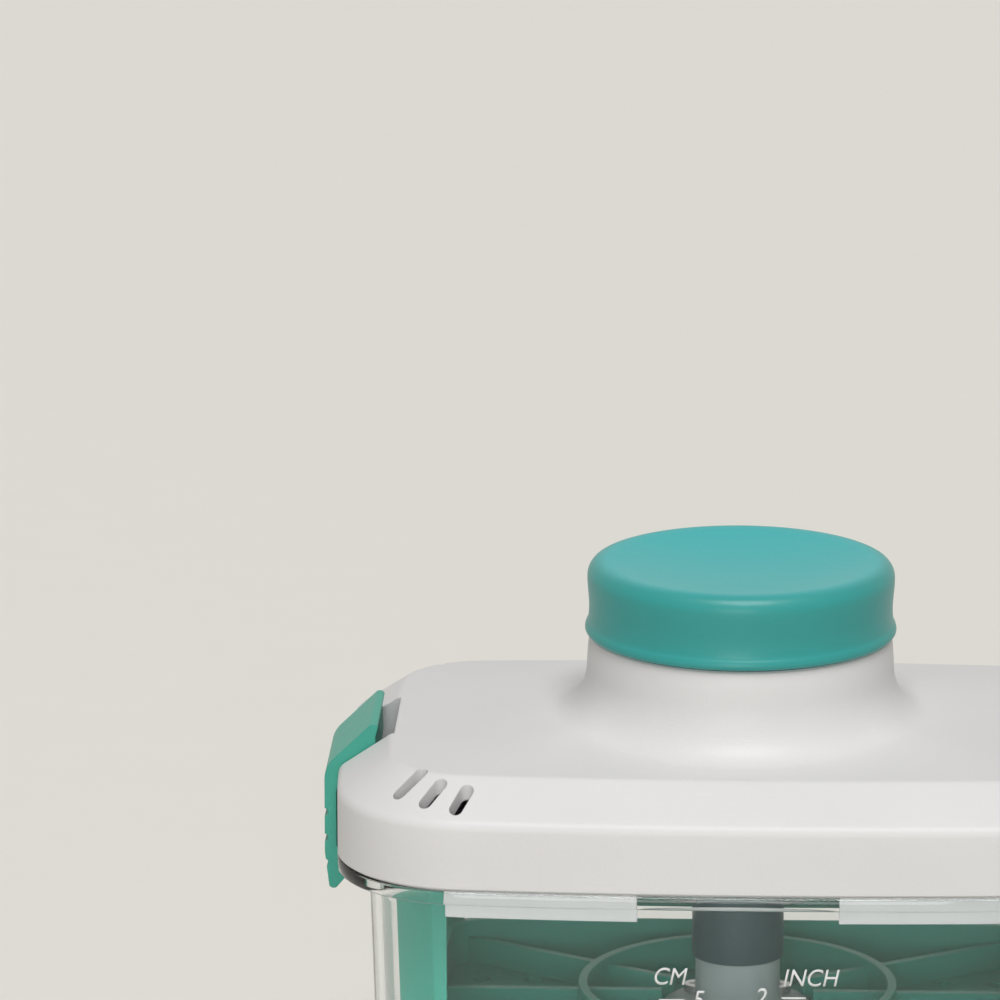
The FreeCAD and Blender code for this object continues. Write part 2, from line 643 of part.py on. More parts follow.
def make_liner_screws():
    head_z = LINER_Z + M3_HEAD_T + 0.1
    return Part.makeCompound([pan_screw(vec(x, y), head_z, 1, LINER_SCREW_L) for x, y in LINER_SCREWS])


def make_neck_bush():
    barrel = rod(BUSH_R, BUSH_BOTTOM_Z, NECK_TOP_Z)
    flange = rod(BUSH_FLANGE_R, NECK_TOP_Z, BUSH_TOP_Z)
    return cut(fuse([barrel, flange]), [rod(JOURNAL_R + 0.08, BUSH_BOTTOM_Z - 1, BUSH_TOP_Z + 1)])


def make_thrust_washer():
    return pipe(BUSH_FLANGE_R, JOURNAL_R + 0.2, BUSH_TOP_Z, HUB_Z)


# ---- knob and screw -----------------------------------------------------------------------------

def make_drive_screw():
    """Hub disc, journal with a ring groove, and the left-hand two-start thread."""
    core = rod(SCREW_CORE_R, SCREW_BOTTOM_Z, SCREW_THREAD_TOP_Z + 2)
    journal = rod(JOURNAL_R, SCREW_THREAD_TOP_Z + 1, HUB_Z + 1)
    hub = rod(HUB_R, HUB_Z, HUB_TOP_Z)
    groove = pipe(JOURNAL_R + 1, GROOVE_R, CLIP_Z - 0.1, CLIP_Z + CLIP_T + 0.1)
    body = cut(fuse([core, journal, hub]), [groove])
    first_z = SCREW_BOTTOM_Z + RIDGE_HALF_ROOT
    ridges = thread_ridge(SCREW_CORE_R, SCREW_R, RIDGE_HALF_ROOT, RIDGE_HALF_CREST, first_z,
                          SCREW_THREAD_TOP_Z - RIDGE_HALF_ROOT)
    turn = -(first_z - SCREW_BOTTOM_Z) / SCREW_LEAD * 360
    for ridge in ridges:
        ridge.rotate(vec(0, 0), vec(0, 0, 1), turn)
        body = body.fuse(ridge)
    seats = []
    for bearing in KNOB_SCREW_BEARINGS:
        spot = polar(KNOB_SCREW_R, bearing)
        seats.append(rod(M3_HEAD_R + 0.3, HUB_Z - 1, HUB_Z + M3_HEAD_T + 0.1, spot.x, spot.y))
        seats.append(rod(M3_SHANK_R + 0.25, HUB_Z, HUB_TOP_Z + 1, spot.x, spot.y))
    return cut(body, seats)


def make_knob_screws():
    head_z = HUB_Z + M3_HEAD_T + 0.1
    spots = [polar(KNOB_SCREW_R, bearing) for bearing in KNOB_SCREW_BEARINGS]
    return Part.makeCompound([pan_screw(spot, head_z, 1, KNOB_SCREW_L) for spot in spots])


def make_retaining_ring():
    """Open spring ring that snaps into the journal's groove under the bush."""
    ring = pipe(BUSH_R + 0.4, GROOVE_R + 0.05, CLIP_Z, CLIP_Z + CLIP_T)
    mouth = block(0, BUSH_R + 2, -3.2, 3.2, CLIP_Z - 1, CLIP_Z + CLIP_T + 1)
    return cut(ring, [mouth])


def make_knob():
    """Round cap with a bead at its foot, a waisted side, a rounded crest and a dished top."""
    top = KNOB_TOP_Z
    crest_r = KNOB_R - 4.6
    outside = curve([
        (KNOB_R - 0.7, KNOB_BOTTOM_Z), (KNOB_R, KNOB_BOTTOM_Z + 1.0), (KNOB_R - 0.5, KNOB_BOTTOM_Z + 2.6),
        (KNOB_R - 0.9, KNOB_BOTTOM_Z + 6.5), (KNOB_R - 0.4, top - 4.2), (KNOB_R - 0.9, top - 1.8),
        (KNOB_R - 2.6, top - 0.4), (crest_r, top)])
    ball_r = (crest_r ** 2 + (top - KNOB_DISH_Z) ** 2) / (2 * (top - KNOB_DISH_Z))
    half_way_z = KNOB_DISH_Z + ball_r - math.sqrt(ball_r ** 2 - (crest_r / 2) ** 2)
    dish = arc((crest_r, top), (crest_r / 2, half_way_z), (0, KNOB_DISH_Z))
    inner_r = KNOB_R - 0.9 - KNOB_WALL
    ceiling_z = KNOB_DISH_Z - KNOB_WALL
    inside = lines(
        (0, KNOB_DISH_Z), (0, ceiling_z), (inner_r - 8, ceiling_z + 0.6), (inner_r - 1, ceiling_z + 0.6),
        (inner_r, ceiling_z - 1), (inner_r, KNOB_BOTTOM_Z), (KNOB_R - 0.7, KNOB_BOTTOM_Z))
    cap = turned([outside, dish] + inside)
    posts = []
    pilots = []
    for bearing in KNOB_SCREW_BEARINGS:
        spot = polar(KNOB_SCREW_R, bearing)
        posts.append(rod(3.6, HUB_TOP_Z, ceiling_z + 1, spot.x, spot.y))
        pilots.append(rod(PILOT_R, HUB_TOP_Z - 1, HUB_TOP_Z + 5.5, spot.x, spot.y))
    rest_ring = pipe(HUB_R - 1, HUB_R - 2.6, HUB_TOP_Z, ceiling_z + 1)
    return cut(fuse([cap, rest_ring] + posts), pilots)


# ---- latches ------------------------------------------------------------------------------------

def cross_block(x_low, x_high, z_low, z_high):
    """Block across the whole width of a latch."""
    return block(x_low, x_high, -LATCH_HALF_Y - 1, LATCH_HALF_Y + 1, z_low, z_high)


def make_latch():
    """Left latch, closed: a lip at the top, a boss for the pin, a leg outside the lid's end and
    a hook under the flange.  Three grooves across its outer face give grip."""
    outer_x = -LID_HALF_X - LATCH_OUT
    leg_x = -LID_HALF_X - LATCH_GAP
    hook = (-LATCH_HOOK_X, LATCH_HOOK_Z)
    pin = (-LATCH_PIN_X, LATCH_PIN_Z)
    section = rounded_section([
        (hook[0], hook[1], 0.3),
        (hook[0], hook[1] - LATCH_HOOK_T, 0.8),
        (hook[0] - 3.0, LATCH_TIP_Z, 1.0),
        (outer_x + 1.0, LATCH_TIP_Z + 0.2, 0.9),
        (outer_x, hook[1] - 1.0, 3.0),
        (outer_x, pin[1] - 1.4, 6.5),
        (-LATCH_LIP_X - 1.5, LATCH_TOP_Z, 1.0),
        (-LATCH_LIP_X, LATCH_TOP_Z - 0.6, 0.6),
        (-LATCH_LIP_X - 0.7, LATCH_TOP_Z - 3.2, 0.8),
        (pin[0] + 3.2, pin[1] - 3.1, 3.0),
        (pin[0] - 3.0, pin[1] - 3.4, 2.0),
        (leg_x, pin[1] - 6.4, 2.5),
        (leg_x, hook[1], 0.5),
    ])
    tools = [cross_rod(LATCH_PIN_R + 0.1, pin[0], pin[1], LATCH_HALF_Y + 1)]
    for z in GRIP_LEVELS:
        tools.append(cross_block(outer_x - 1, outer_x + GRIP_DEPTH, z - GRIP_W / 2, z + GRIP_W / 2))
    return cut(side_profile(section, LATCH_HALF_Y), tools)


def make_latch_pin():
    return cross_rod(LATCH_PIN_R, -LATCH_PIN_X, LATCH_PIN_Z, POCKET_HALF_Y + 1.8)


# ---- write the pieces ---------------------------------------------------------------------------

def make_all():
    latch = make_latch()
    latch_pin = make_latch_pin()
    return {
        "container": make_container(),
        "basket": make_basket(),
        "press_plate": make_press_plate(),
        "drive_nut": make_drive_nut(),
        "stem_foot": make_stem_foot(),
        "foot_screws": make_foot_screws(),
        "lid_shell": make_lid_shell(),
        "lid_liner": make_lid_liner(),
        "stem_guide": make_stem_guide(),
        "liner_screws": make_liner_screws(),
        "neck_bush": make_neck_bush(),
        "thrust_washer": make_thrust_washer(),
        "drive_screw": make_drive_screw(),
        "retaining_ring": make_retaining_ring(),
        "knob": make_knob(),
        "knob_screws": make_knob_screws(),
        "latch_left": latch,
        "latch_right": mirrored_x(latch),
        "latch_pin_left": latch_pin,
        "latch_pin_right": mirrored_x(latch_pin),
    }


os.makedirs("parts", exist_ok=True)
for node, shape in make_all().items():
    shape.exportStep("parts/" + node + ".step")
    print(node, "solids", len(shape.Solids), "valid", shape.isValid(), "volume", round(shape.Volume))
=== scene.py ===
import math

import bmesh
import bpy
import numpy as np
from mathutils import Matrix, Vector


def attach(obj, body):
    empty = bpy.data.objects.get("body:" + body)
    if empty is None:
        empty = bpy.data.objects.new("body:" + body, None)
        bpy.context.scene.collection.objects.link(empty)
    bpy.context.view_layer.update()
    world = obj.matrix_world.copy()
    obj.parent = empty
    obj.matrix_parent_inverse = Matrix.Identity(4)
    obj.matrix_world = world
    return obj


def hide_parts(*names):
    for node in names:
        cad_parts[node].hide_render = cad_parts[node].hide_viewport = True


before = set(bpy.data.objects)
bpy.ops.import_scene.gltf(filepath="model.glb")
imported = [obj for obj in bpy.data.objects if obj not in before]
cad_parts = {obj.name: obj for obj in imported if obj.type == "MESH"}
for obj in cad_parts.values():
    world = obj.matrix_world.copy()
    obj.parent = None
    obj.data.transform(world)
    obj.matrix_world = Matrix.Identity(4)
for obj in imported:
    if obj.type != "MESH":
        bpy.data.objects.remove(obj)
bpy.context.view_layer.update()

MM = 0.001

# ---- sizes, in millimetres, as the frame has them -------------------------------------------------

LID_HALF_X, LID_HALF_Y, LID_CORNER = 91.0, 62.0, 30.0
LID_SEAM, SEAM_DEEP, SEAM_TALL = 0.15, 0.9, 0.45
SIDE_CROWN, END_CROWN = 900.0, 500.0
RIM_Z, FLANGE_T = 90.0, 3.0
BODY_HALF_X, BODY_HALF_Y, BODY_CORNER = 84.0, 55.5, 24.0
BODY_TAPER, BODY_WALL, BODY_FLOOR = 3.0, 2.2, 3.0
BASKET_FLOOR_Z = 14.0

SKIRT_TOP_Z, BEVEL_IN, BEVEL_TOP_Z = 105.5, 12.0, 113.5
SHOULDER_R = 3.0
NECK_R, NECK_TOP_Z, SHELL_T = 34.3, 134.0, 2.2
FLARE_WIDE, FLARE_TOP_Z = 8.8, 126.8
CROWN_SLOPE = 0.065

POCKET_HALF_Y, POCKET_X, POCKET_DEEP_X, POCKET_FLOOR_T = 15.0, 78.4, 75.2, 2.2
SLOT_FAN_X, SLOT_FAN_Y, SLOT_W = 46.5, 25.7, 3.0
POUR_SLOTS = ((39.0, 29.4, 38.2), (50.7, 29.4, 37.2), (62.4, 27.8, 35.6))
BUSH_R = 9.0

KNOB_BOTTOM_Z, KNOB_TOP_Z, KNOB_R, KNOB_WALL, KNOB_DISH_Z = 134.4, 151.0, 35.4, 2.3, 148.4
LATCH_HALF_Y, LATCH_PIN_X, LATCH_PIN_Z, LATCH_PIN_R = 14.5, 85.2, 106.6, 1.5
LATCH_HOOK_Z, LATCH_HOOK_X, LATCH_HOOK_T, LATCH_TIP_Z = 86.3, 88.6, 6.2, 76.6
GRIP_LEVELS = (94.6, 88.6, 82.6)


# ---- meshes ---------------------------------------------------------------------------------------

def bowed(half_x, half_y, corner, per_end=8, per_corner=26, per_side=16):
    """Points round a bowed rectangle, one ring for each entry of the three size arrays.

    The end is an arc of radius END_CROWN, the long side one of radius SIDE_CROWN, and the corner
    arc touches both from inside: its centre is where the two circles, made smaller by the corner
    radius, cross.  One quarter is the half end arc, the corner arc and the half side arc, and the
    other quarters are its mirror images.  The result has the shape (rings, points, 2).
    """
    hx, hy, c = (np.atleast_1d(np.asarray(a, float)) for a in (half_x, half_y, corner))
    side_y = hy - SIDE_CROWN
    end_x = hx - END_CROWN
    dist = np.hypot(end_x, side_y)
    along = ((SIDE_CROWN - c) ** 2 - (END_CROWN - c) ** 2 + dist ** 2) / (2 * dist)
    across = np.sqrt((SIDE_CROWN - c) ** 2 - along ** 2)
    ux, uy = end_x / dist, -side_y / dist
    cx = along * ux + across * uy
    cy = side_y + along * uy - across * ux
    a_end = np.arctan2(cy, cx - end_x)
    a_side = np.arctan2(cy - side_y, cx)

    def arc(x, y, r, start, stop, count, last=False):
        t = np.linspace(0, 1, count + 1)[: None if last else -1]
        a = start[:, None] + (stop - start)[:, None] * t
        return np.stack([x[:, None] + r[:, None] * np.cos(a), y[:, None] + r[:, None] * np.sin(a)], 2)

    zero = np.zeros_like(hx)
    quarter = np.concatenate([
        arc(end_x, zero, zero + END_CROWN, zero, a_end, per_end),
        arc(cx, cy, c, a_end, a_side, per_corner),
        arc(zero, side_y, zero + SIDE_CROWN, a_side, zero + math.pi / 2, per_side, last=True),
    ], 1)
    back = quarter[:, ::-1][:, 1:] * [-1, 1]
    half = np.concatenate([quarter, back], 1)
    return np.concatenate([half, half[:, 1:-1] * -1], 1)


def with_z(rings, z):
    """Adds a height to each ring of plan points; z has one value per ring or one per point."""
    z = np.asarray(z, float)
    z = z[:, None] if z.ndim == 1 else z
    return np.dstack([rings, np.broadcast_to(z, rings.shape[:2])])


def new_mesh(name, points, faces, smooth=40.0):
    """Mesh object from points in millimetres; edges sharper than the angle stay sharp."""
    mesh = bpy.data.meshes.new(name)
    mesh.from_pydata((np.asarray(points) * MM).tolist(), [], faces)
    mesh.validate()
    obj = bpy.data.objects.new(name, mesh)
    bpy.context.scene.collection.objects.link(obj)
    shade(obj, smooth)
    return obj


def shade(obj, degrees):
    mesh = obj.data
    mesh.polygons.foreach_set("use_smooth", np.ones(len(mesh.polygons), bool))
    mesh.set_sharp_from_angle(angle=math.radians(degrees))


def outward(obj):
    work = bmesh.new()
    work.from_mesh(obj.data)
    bmesh.ops.remove_doubles(work, verts=work.verts, dist=1e-6)
    bmesh.ops.recalc_face_normals(work, faces=work.faces)
    work.to_mesh(obj.data)
    work.free()
    return obj


def skin(name, rings, smooth=40.0):
    """Closed skin over rings of equal point count, each end closed by a fan to its middle."""
    levels, count = rings.shape[:2]
    index = np.arange(levels * count).reshape(levels, count)
    right = np.roll(index, -1, axis=1)
    quads = np.stack([index[:-1], right[:-1], right[1:], index[1:]], 2).reshape(-1, 4)
    first, last = levels * count, levels * count + 1
    low = np.stack([right[0], index[0], np.full(count, first)], 1)
    high = np.stack([index[-1], right[-1], np.full(count, last)], 1)
    points = np.concatenate([rings.reshape(-1, 3), rings[0].mean(0)[None], rings[-1].mean(0)[None]])
    obj = new_mesh(name, points, quads.tolist() + low.tolist() + high.tolist(), smooth)
    outward(obj)
    shade(obj, smooth)
    return obj


def turned(name, section, count=160, smooth=40.0):
    """Surface of revolution about Z through the (radius, z) points of a section."""
    section = np.asarray(section, float)
    a = np.linspace(0, 2 * math.pi, count, endpoint=False)
    plan = section[:, :1, None] * np.stack([np.cos(a), np.sin(a)], 1)[None]
    return skin(name, with_z(plan, section[:, 1]), smooth)


def prism(name, outline, axis, low, high, smooth=35.0):
    """Closed prism: a flat outline of (a, b) points, pushed along one axis from low to high."""
    outline = np.asarray(outline, float)
    n = len(outline)
    order = {"y": (0, 2, 1), "z": (0, 1, 2)}[axis]
    caps = [np.column_stack([outline, np.full(n, level)]) for level in (low, high)]
    points = np.concatenate(caps)[:, order]
    sides = [[i, (i + 1) % n, n + (i + 1) % n, n + i] for i in range(n)]
    obj = new_mesh(name, points, sides + [list(range(n)), list(range(2 * n - 1, n - 1, -1))], smooth)
    return outward(obj)


def round_bend(points, radii, steps=6):
    """Polygon with its corners rounded: each corner becomes an arc that touches both its sides."""
    points = np.asarray(points, float)
    out = []
    for before, here, after, r in zip(np.roll(points, 1, 0), points, np.roll(points, -1, 0), radii):
        if r == 0:
            out.append(here)
            continue
        u = (before - here) / np.linalg.norm(before - here)
        v = (after - here) / np.linalg.norm(after - here)
        half = math.acos(np.clip(u @ v, -1, 1)) / 2
        centre = here + (u + v) / np.linalg.norm(u + v) * r / math.sin(half)
        start = here + u * r / math.tan(half)
        stop = here + v * r / math.tan(half)
        a0 = math.atan2(*(start - centre)[::-1])
        a1 = math.atan2(*(stop - centre)[::-1])
        turn = (a1 - a0 + math.pi) % (2 * math.pi) - math.pi
        out.extend(centre + r * np.array([math.cos(a0 + turn * t), math.sin(a0 + turn * t)])
                   for t in np.linspace(0, 1, steps + 1))
    return np.array(out)


def stadium(x, y, length, width, degrees, steps=10):
    """Outline of a slot with round ends, centred at x, y and turned."""
    a = np.linspace(-math.pi / 2, math.pi / 2, steps)
    end = np.stack([length / 2 - width / 2 + width / 2 * np.cos(a), width / 2 * np.sin(a)], 1)
    loop = np.concatenate([end, -end])
    turn = math.radians(degrees)
    spin = np.array([[math.cos(turn), math.sin(turn)], [-math.sin(turn), math.cos(turn)]])
    return loop @ spin + [x, y]


def joined(name, objects, smooth=35.0):
    """One object from several, with the old ones removed."""
    work = bmesh.new()
    for obj in objects:
        work.from_mesh(obj.data)
        bpy.data.objects.remove(obj)
    mesh = bpy.data.meshes.new(name)
    work.to_mesh(mesh)
    work.free()
    obj = bpy.data.objects.new(name, mesh)
    bpy.context.scene.collection.objects.link(obj)
    shade(obj, smooth)
    return obj


def baked(obj, smooth=None):
    """Replaces an object's mesh by what its modifiers make of it."""
    graph = bpy.context.evaluated_depsgraph_get()
    mesh = bpy.data.meshes.new_from_object(obj.evaluated_get(graph), depsgraph=graph)
    obj.modifiers.clear()
    obj.data = mesh
    if smooth:
        shade(obj, smooth)
    return obj


def carve(obj, cutter, smooth=35.0):
    """Cuts one closed mesh out of another and drops the cutter."""
    step = obj.modifiers.new("carve", "BOOLEAN")
    step.operation = "DIFFERENCE"
    step.solver = "EXACT"
    step.object = cutter
    baked(obj, smooth)
    bpy.data.objects.remove(cutter)
    return obj


def soften(obj, width, segments=2, degrees=30.0):
    """Rounds the sharp edges of a finished piece and keeps its flat faces looking flat."""
    shade(obj, 180.0)
    edge = obj.modifiers.new("edges", "BEVEL")
    edge.width = width * MM
    edge.segments = segments
    edge.limit_method = "ANGLE"
    edge.angle_limit = math.radians(degrees)
    weigh = obj.modifiers.new("flat_faces", "WEIGHTED_NORMAL")
    weigh.mode = "FACE_AREA"
    weigh.weight = 90
    return baked(obj)


def mirrored(obj, name):
    """Copy of a piece on the other side of the YZ plane, faces still outwards."""
    mesh = obj.data.copy()
    mesh.name = name
    co = np.empty(len(mesh.vertices) * 3, np.float32)
    mesh.vertices.foreach_get("co", co)
    co = co.reshape(-1, 3)
    co[:, 0] *= -1
    mesh.vertices.foreach_set("co", co.ravel())
    mesh.flip_normals()
    twin = bpy.data.objects.new(name, mesh)
    bpy.context.scene.collection.objects.link(twin)
    return twin


# ---- materials ------------------------------------------------------------------------------------

class Value:
    """A shader number.  Arithmetic on it adds Math nodes to its material."""

    def __init__(self, paint, socket):
        self.paint = paint
        self.socket = socket

    def math(self, operation, a, b):
        return self.paint.node("ShaderNodeMath", {"operation": operation}, {0: a, 1: b}, 0)

    def __add__(self, other):
        return self.math("ADD", self, other)

    def __radd__(self, other):
        return self.math("ADD", other, self)

    def __sub__(self, other):
        return self.math("SUBTRACT", self, other)

    def __rsub__(self, other):
        return self.math("SUBTRACT", other, self)

    def __mul__(self, other):
        return self.math("MULTIPLY", self, other)

    def __rmul__(self, other):
        return self.math("MULTIPLY", other, self)


class Paint:
    """A material with one Principled surface, and short ways to add nodes to it."""

    def __init__(self, name, **settings):
        self.material = bpy.data.materials.new(name)
        self.material.use_nodes = True
        self.tree = self.material.node_tree
        self.surface = self.tree.nodes["Principled BSDF"]
        for socket, value in settings.items():
            self.surface.inputs[socket.replace("_", " ")].default_value = value
        self.place = self.node("ShaderNodeTexCoord", {}, {}, "Object")

    def node(self, kind, settings, inputs, output):
        made = self.tree.nodes.new(kind)
        for key, value in settings.items():
            setattr(made, key, value)
        for key, value in inputs.items():
            self.feed(made.inputs[key], value)
        return Value(self, made.outputs[output])

    def feed(self, socket, value):
        if isinstance(value, Value):
            self.tree.links.new(value.socket, socket)
        else:
            socket.default_value = value

    def noise(self, per_metre, detail=2.0, rough=0.5, place=None):
        return self.node("ShaderNodeTexNoise", {},
                         {"Vector": place or self.place, "Scale": per_metre, "Detail": detail,
                          "Roughness": rough}, 0)

    def ramp(self, value, low, high):
        """Maps low..high to 0..1 and holds it there."""
        return self.node("ShaderNodeMapRange", {"clamp": True},
                         {"Value": value, "From Min": low, "From Max": high}, 0)

    def mix(self, mask, low, high):
        """Colour that goes from low to high as the mask goes from 0 to 1."""
        return self.node("ShaderNodeMix", {"data_type": "RGBA"}, {0: mask, 6: low, 7: high}, 2)

    def stretched(self, scale):
        return self.node("ShaderNodeMapping", {}, {"Vector": self.place, "Scale": scale}, 0)

    def bump(self, height, depth, soft_edge=0.0):
        inputs = {"Height": height, "Distance": depth, "Strength": 1.0}
        if soft_edge:
            inputs["Normal"] = self.node("ShaderNodeBevel", {"samples": 4}, {"Radius": soft_edge}, 0)
        return self.node("ShaderNodeBump", {}, inputs, 0)

    def set(self, **sockets):
        for socket, value in sockets.items():
            self.feed(self.surface.inputs[socket.replace("_", " ")], value)
        return self.material


def moulded(name, color, shade_color, rough, coat, grain=1400.0, soft_edge=0.0004, dish=None):
    """Injection-moulded plastic: faint flow clouds in the colour, fine grain in the gloss, and a few
    hairline scuffs that catch the light.  A dish colour, lighter and bluer, is a painted highlight on
    what lies inside the knob's crest, as if the top caught more light than the side."""
    paint = Paint(name, Coat_Weight=coat, Coat_Roughness=0.2, IOR=1.49, Specular_IOR_Level=0.36)
    clouds = paint.ramp(paint.noise(22.0, 3.0), 0.35, 0.65)
    cloudy = paint.mix(clouds, (*shade_color, 1.0), (*color, 1.0))
    # Painted highlight: inside the knob's crest the colour turns to the lighter, bluer dish colour.
    if dish:
        radius = paint.node("ShaderNodeVectorMath", {"operation": "LENGTH"},
                            {0: paint.stretched((1.0, 1.0, 0.0))}, 1)
        inside = paint.ramp(radius, KNOB_R * MM - 0.0018, KNOB_R * MM - 0.0048)
        cloudy = paint.mix(inside, cloudy, (*dish, 1.0))
    grainy = paint.noise(grain, 2.0, 0.6)
    scuffs = paint.ramp(paint.noise(60.0, 4.0, 0.7, paint.stretched((1.0, 14.0, 3.0))), 0.62, 0.72)
    rubbed = paint.mix(scuffs * 0.10, cloudy, tuple(min(1.0, c * 1.25 + 0.02) for c in color) + (1.0,))
    gloss = rough + (grainy - 0.5) * 0.14 + scuffs * 0.08 + (clouds - 0.5) * 0.05
    return paint.set(Base_Color=rubbed, Roughness=gloss,
                     Normal=paint.bump(grainy + scuffs * -0.5, 0.00004, soft_edge))


def clear_plastic(name, color, shadow):
    """Clear polished plastic with a trace of haze and faint wipe marks.  Light on its way to what is
    inside passes straight through, with only the given tint."""
    paint = Paint(name, Transmission_Weight=1.0, IOR=1.46, Base_Color=(*color, 1.0))
    wipes = paint.ramp(paint.noise(14.0, 4.0, 0.6, paint.stretched((1.0, 1.0, 5.0))), 0.45, 0.8)
    ripple = paint.noise(35.0, 1.0)
    paint.set(Roughness=0.015 + wipes * 0.05, Normal=paint.bump(ripple, 0.00006))
    passing = paint.node("ShaderNodeLightPath", {}, {}, "Is Shadow Ray")
    straight = paint.node("ShaderNodeBsdfTransparent", {}, {"Color": (*shadow, 1.0)}, 0)
    both = paint.node("ShaderNodeMixShader", {}, {0: passing, 2: straight}, 0)
    paint.tree.links.new(paint.surface.outputs[0], both.socket.node.inputs[1])
    paint.tree.links.new(both.socket, paint.tree.nodes["Material Output"].inputs["Surface"])
    return paint.material


def bright_steel(name):
    """Rolled steel wire and sheet: drawn lines along the length and tiny pits."""
    paint = Paint(name, Metallic=1.0, Specular_IOR_Level=0.5)
    lines = paint.noise(900.0, 3.0, 0.5, paint.stretched((1.0, 0.08, 1.0)))
    tone = paint.mix(lines, (0.50, 0.50, 0.51, 1.0), (0.66, 0.66, 0.67, 1.0))
    return paint.set(Base_Color=tone, Roughness=0.22 + lines * 0.16, Normal=paint.bump(lines, 0.00001))


def ink(name, color):
    """Screen-printed ink: nearly opaque, with fine pinholes in its gloss."""
    paint = Paint(name, Specular_IOR_Level=0.4)
    specks = paint.ramp(paint.noise(2600.0, 3.0, 0.7), 0.3, 0.6)
    tone = paint.mix(specks, tuple(c * 0.93 for c in color) + (1.0,), (*color, 1.0))
    return paint.set(Base_Color=tone, Roughness=0.42 + specks * 0.12, Normal=paint.bump(specks, 0.00001))


teal = moulded("teal_plastic_satin", (0.052, 0.378, 0.286), (0.045, 0.345, 0.262), 0.42, 0.06)
# The knob is one teal plastic. Its dish colour is a painted highlight that makes the top lighter and
# bluer than the side.
teal_knob_painted_lit_top = moulded("teal_knob_satin_painted_lit_top", (0.034, 0.325, 0.305), (0.030, 0.305, 0.290), 0.40, 0.10,
                    dish=(0.030, 0.455, 0.465))
white = moulded("white_plastic_satin", (0.740, 0.728, 0.728), (0.718, 0.706, 0.706), 0.48, 0.04)
white_inner = moulded("white_liner_plastic", (0.78, 0.79, 0.80), (0.75, 0.77, 0.78), 0.42, 0.06)
# Slate is partly the drive nut's own dark colour and partly painted shade, for the lid's shadow on the
# tube's upper part. Pale grey is partly painted light on the tube's lit foot.
slate_and_painted_shade = moulded("slate_nylon_and_painted_shade", (0.040, 0.100, 0.108), (0.034, 0.090, 0.098), 0.34, 0.06)
pale_grey_and_painted_light = moulded("pale_grey_nylon_and_painted_light", (0.44, 0.52, 0.52), (0.40, 0.48, 0.48), 0.38, 0.04)
clear = clear_plastic("clear_box_plastic", (0.965, 0.978, 0.976), (0.88, 0.90, 0.90))
steel = bright_steel("bright_steel")
print_white = ink("white_scale_ink", (0.86, 0.87, 0.87))


def finish_with(material, obj, body):
    """Gives a piece its material and its body."""
    obj.data.materials.clear()
    obj.data.materials.append(material)
    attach(obj, body)
    return obj


# ---- lid ------------------------------------------------------------------------------------------

def lid_form(name, inset, drop, low_z, neck_hole=0.0):
    """Closed skin of the lid's outer or inner form.

    Rings go up a narrow step that leaves a shadow line over the flange, up the skirt, round the
    shoulder, up the bevel, over the crown and up the flare of the neck.  On the crown and flare
    each point lies on the straight line in plan from the crease to the neck, where the flare is a
    quarter ellipse: out by FLARE_WIDE (1 - sin) and up by its height times (1 - cos).  The crown
    rises by CROWN_SLOPE of its width from the crease towards the neck.
    """
    shoulder_r = SHOULDER_R - inset * 0.8
    slope = math.atan2(BEVEL_TOP_Z - SKIRT_TOP_Z, BEVEL_IN)
    reach = shoulder_r * math.tan((math.pi / 2 - slope) / 2)
    turn = np.linspace(math.pi, math.pi / 2 + slope, 8)
    shoulder_in = shoulder_r + shoulder_r * np.cos(turn)
    shoulder_z = SKIRT_TOP_Z - reach + shoulder_r * np.sin(turn)
    up_bevel = np.append(np.linspace(shoulder_in[-1], BEVEL_IN - 0.8, 7)[1:], BEVEL_IN - 0.3)
    ins = np.concatenate([[SEAM_DEEP, SEAM_DEEP, 0.2, 0.0, 0.0, 0.0], shoulder_in, up_bevel])
    seam = low_z + drop + np.array([0.0, SEAM_TALL, SEAM_TALL, SEAM_TALL + 0.2])
    z = np.concatenate([seam, [94.0, 99.0], shoulder_z,
                        SKIRT_TOP_Z + up_bevel * math.tan(slope)])
    ins = ins + inset
    rings = bowed(LID_HALF_X - ins, LID_HALF_Y - ins, LID_CORNER - ins)
    side = with_z(rings, z - drop)

    crease = bowed(*(size - BEVEL_IN - inset for size in (LID_HALF_X, LID_HALF_Y, LID_CORNER)))[0]
    radius = np.hypot(*crease.T)
    bearing = crease / radius[:, None]
    foot_r = NECK_R + 0.6 - inset
    width = radius - foot_r
    flare = np.minimum(FLARE_WIDE, width * 0.8)
    over = np.linspace(0.12, 1.0, 9)[:, None] * (width - flare)
    over = np.concatenate([np.full((1, len(width)), 0.3), np.full((1, len(width)), 0.8), over])
    crown_out = width - over
    crown_z = BEVEL_TOP_Z + CROWN_SLOPE * over
    lift = np.linspace(0, math.pi / 2, 14)[1:, None]
    flare_out = flare * (1 - np.sin(lift))
    flare_z = crown_z[-1] + (FLARE_TOP_Z - crown_z[-1]) * (1 - np.cos(lift))
    out = np.concatenate([crown_out, flare_out])
    top = with_z((foot_r + out)[:, :, None] * bearing, np.concatenate([crown_z, flare_z]) - drop)

    neck = np.array([(NECK_R + 0.45, NECK_TOP_Z - 4.5), (NECK_R + 0.2, NECK_TOP_Z - 1.6),
                     (NECK_R - 0.1, NECK_TOP_Z - 0.4), (NECK_R - 0.5, NECK_TOP_Z),
                     (30.0, NECK_TOP_Z), (20.0, NECK_TOP_Z), (12.0, NECK_TOP_Z)])
    cap = with_z((neck[:, 0] - inset)[:, None, None] * bearing[None], neck[:, 1] - drop)
    return skin(name, np.concatenate([side, top, cap]), 28.0)


